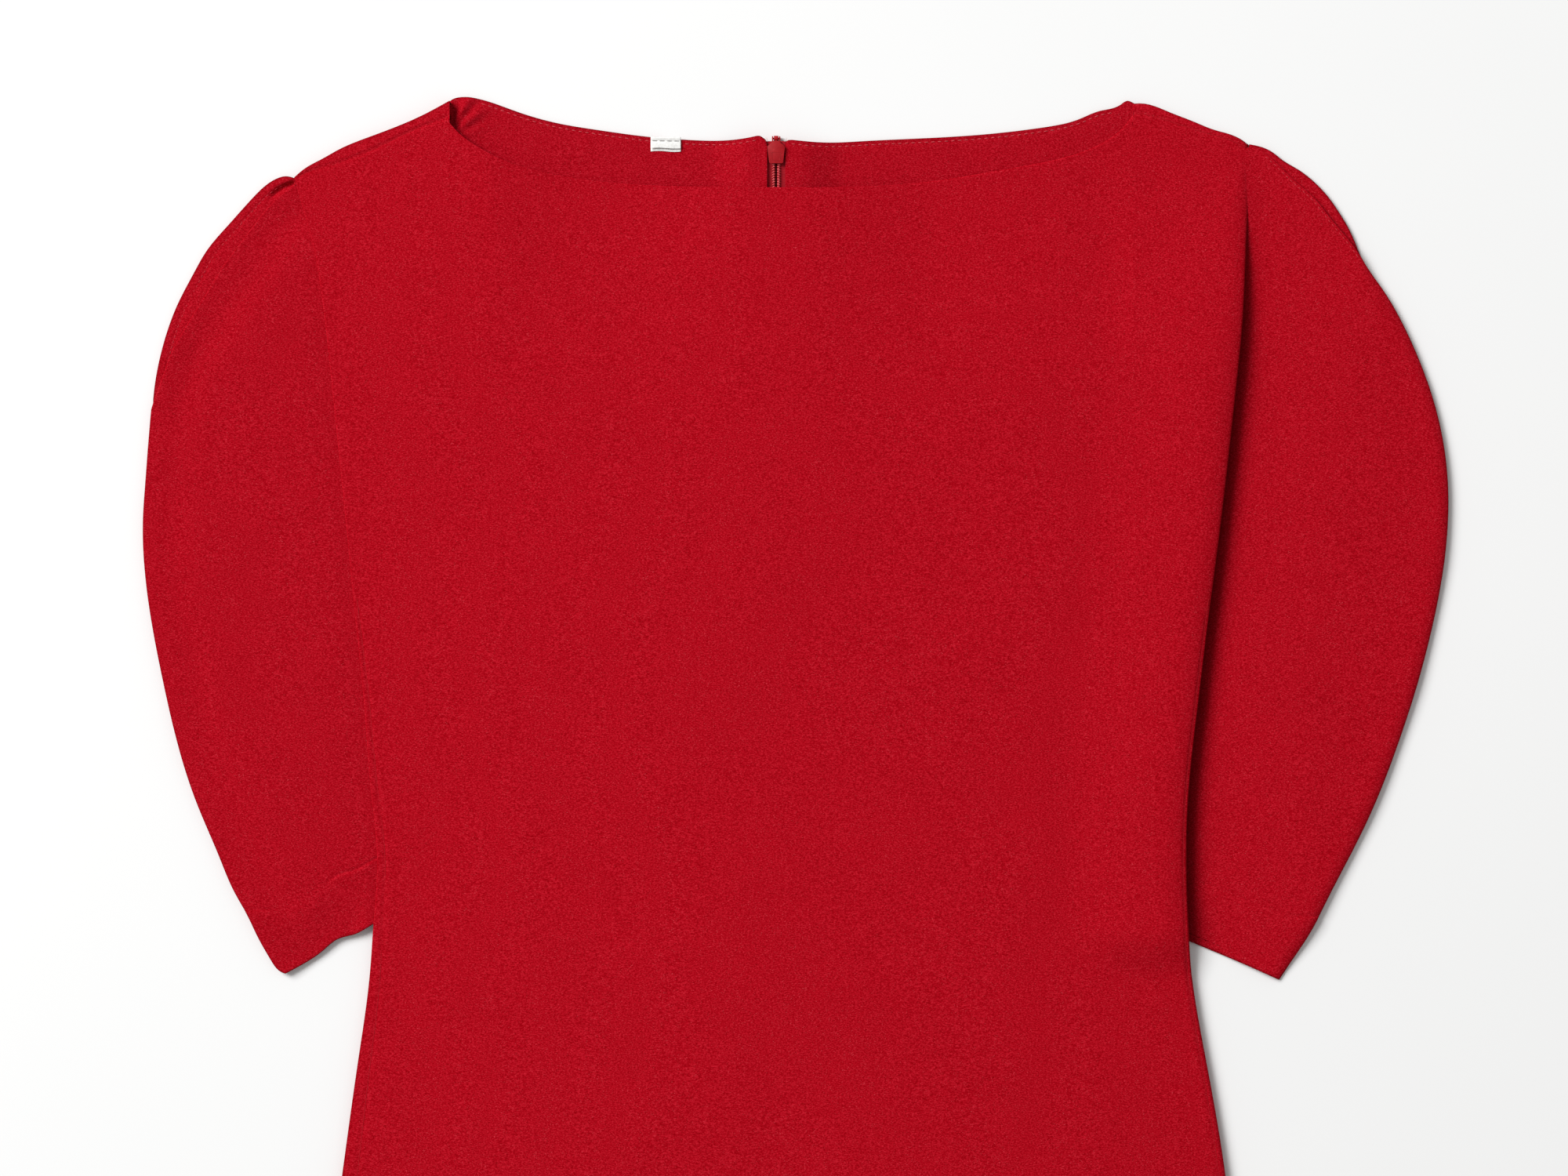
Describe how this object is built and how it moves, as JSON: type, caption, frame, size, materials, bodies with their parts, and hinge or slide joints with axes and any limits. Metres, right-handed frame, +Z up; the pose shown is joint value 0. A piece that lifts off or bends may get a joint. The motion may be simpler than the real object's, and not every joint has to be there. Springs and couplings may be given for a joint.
{
  "type": "dress",
  "caption": "Knee-length dress laid flat, with a wide boat neck, split elbow sleeves, neck facings and an invisible zip down the centre back.",
  "frame": {"origin": "on the surface the dress lies on, under the middle of its length and width", "axes": "+X across the dress towards the right of the picture (the wearer's left), +Y from hem to neck, +Z up out of the front"},
  "size_m": [0.649, 0.97, 0.0103],
  "materials": {
    "crepe": "matte crepe with a fine pebbled grain",
    "facing": "matte crepe",
    "tape": "matte woven ribbon",
    "coil": "dyed nylon, dull",
    "zip_metal": "gloss red enamel",
    "label": "satin ribbon, blank",
    "thread": "matte sewing thread",
    "light_thread": "light sewing thread",
    "dark_thread": "dark sewing thread"
  },
  "bodies": {
    "dress": {"front_panel": "crepe", "back_panel_left": "crepe", "back_panel_right": "crepe", "front_neck_facing": "facing", "back_neck_facing_left": "facing", "back_neck_facing_right": "facing", "zipper_tape_left": "tape", "zipper_tape_right": "tape", "zipper_coil_left": "coil", "zipper_coil_right": "coil", "zipper_top_stops": "zip_metal", "zipper_bottom_stop": "zip_metal", "side_seam_left": "thread", "side_seam_right": "thread", "shoulder_seam_left": "thread", "shoulder_seam_right": "thread", "centre_back_seam": "thread", "neck_stitches_left": "light_thread", "neck_stitches_right": "light_thread", "front_neck_stitches": "light_thread", "hem_stitches": "thread", "zip_stitches_left": "thread", "zip_stitches_right": "thread"},
    "slider": {"zipper_slider": "zip_metal"},
    "pull": {"zipper_pull": "zip_metal"},
    "label": {"size_label": "label", "label_stitches": "dark_thread"},
    "left_sleeve": {"sleeve_front_left": "crepe", "sleeve_back_left": "crepe", "arm_seam_left": "thread", "underarm_seam_left": "thread", "slit_stitches_left": "thread", "cuff_stitches_left": "thread"},
    "right_sleeve": {"sleeve_front_right": "crepe", "sleeve_back_right": "crepe", "arm_seam_right": "thread", "underarm_seam_right": "thread", "slit_stitches_right": "thread", "cuff_stitches_right": "thread"}
  },
  "joints": [
    {"name": "zipper_slide", "type": "slide", "parent": "dress", "child": "slider", "axis": [0, -1, 0], "range_m": [0, 0.525]},
    {"name": "pull_swing", "type": "hinge", "parent": "slider", "child": "pull", "pos_m": [0, 0.464, 0.0017], "axis": [1, 0, 0], "range_deg": [0, 180]},
    {"name": "label_flip", "type": "hinge", "parent": "dress", "child": "label", "pos_m": [-0.055, 0.46456, 0.00237], "axis": [-1, 0, 0], "range_deg": [0, 150]},
    {"name": "left_sleeve_fold", "type": "hinge", "parent": "dress", "child": "left_sleeve", "pos_m": [-0.22025, 0.275, 0.0088], "axis": [-0.1203, 0.9927, 0], "range_deg": [0, 180]},
    {"name": "right_sleeve_fold", "type": "hinge", "parent": "dress", "child": "right_sleeve", "pos_m": [0.22025, 0.275, 0.0088], "axis": [-0.1203, -0.9927, 0], "range_deg": [0, 180]}
  ]
}
